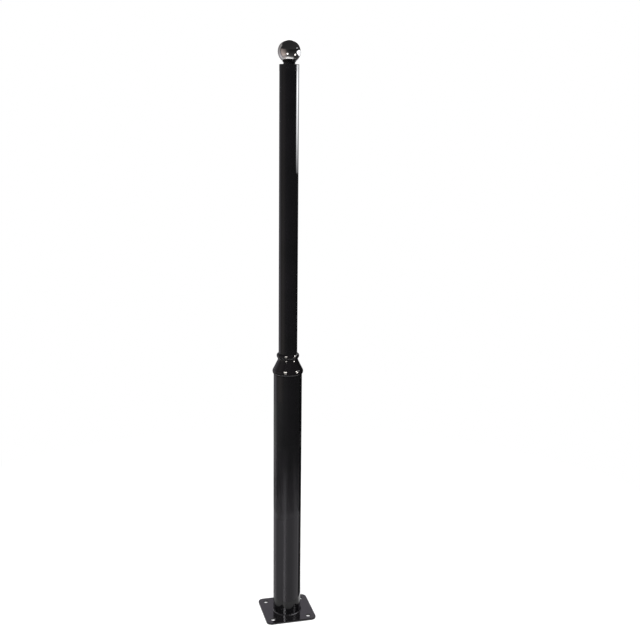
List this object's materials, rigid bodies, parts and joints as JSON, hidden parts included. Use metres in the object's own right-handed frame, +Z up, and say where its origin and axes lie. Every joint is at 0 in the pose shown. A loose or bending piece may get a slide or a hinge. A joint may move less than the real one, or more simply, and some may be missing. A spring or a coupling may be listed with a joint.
{
  "type": "street light pole",
  "caption": "Sectional street light pole: a square bolted flange, a base tube, a cast reducing collar, a thinner tube, a flush cap and a polished ball on top.",
  "frame": {"origin": "centre of the base plate's underside", "axes": "+Z up the pole, X and Y square to the base plate's sides, the front side at -Y"},
  "size_m": [0.14, 0.14, 1.5605],
  "materials": {
    "black_enamel": "gloss black stoved enamel on steel",
    "black_casting": "gloss black enamel on a casting",
    "mirror_steel": "mirror polished stainless steel",
    "zinc_steel": "bright zinc plated steel"
  },
  "bodies": {
    "root": {"base_plate": "black_enamel", "foot_weld": "black_enamel", "base_tube": "black_enamel", "reducing_collar": "black_casting", "upper_tube": "black_enamel", "end_cap": "black_casting", "finial_seat": "black_casting", "ball_finial": "mirror_steel", "ball_bush": "zinc_steel", "finial_stud": "zinc_steel", "finial_washer": "zinc_steel", "finial_nut": "zinc_steel"}
  },
  "joints": []
}
